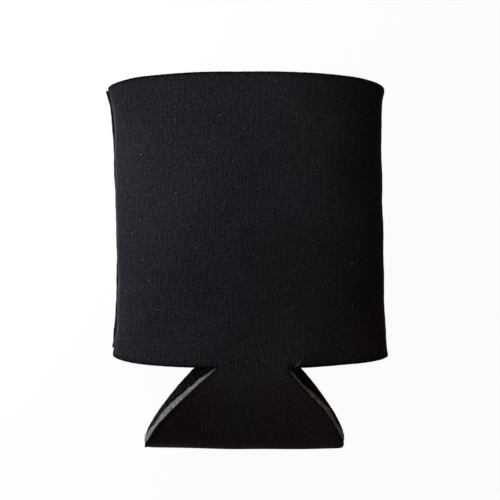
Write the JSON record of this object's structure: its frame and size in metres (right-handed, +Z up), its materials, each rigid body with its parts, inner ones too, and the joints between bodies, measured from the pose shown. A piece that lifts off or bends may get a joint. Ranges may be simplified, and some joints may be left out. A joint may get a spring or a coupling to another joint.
{
  "type": "can cooler sleeve",
  "caption": "Collapsible foam sleeve with black knit faces, sewn along its side edges and joined below by a folded floor flap, that slips over a drinks can to keep it cold.",
  "frame": {"origin": "On the table, under the middle of the sleeve's bounding box as it lies on its back panel.", "axes": "+Z up from the table through the front panel, +Y towards the open mouth, +X towards the right side seam as seen from above with the mouth away from the viewer."},
  "size_m": [0.1064, 0.1374, 0.0352],
  "materials": {
    "black_knit": "matt brushed knit with fine upright wales",
    "grey_foam": "matt open-cell foam, seen at the cut edges",
    "black_lining": "matt knit",
    "black_thread": "satin sewing thread"
  },
  "bodies": {
    "root": {"outer_cloth": "black_knit", "foam_core": "grey_foam", "lining_cloth": "black_lining", "left_seam_thread": "black_thread", "right_seam_thread": "black_thread"}
  },
  "joints": []
}
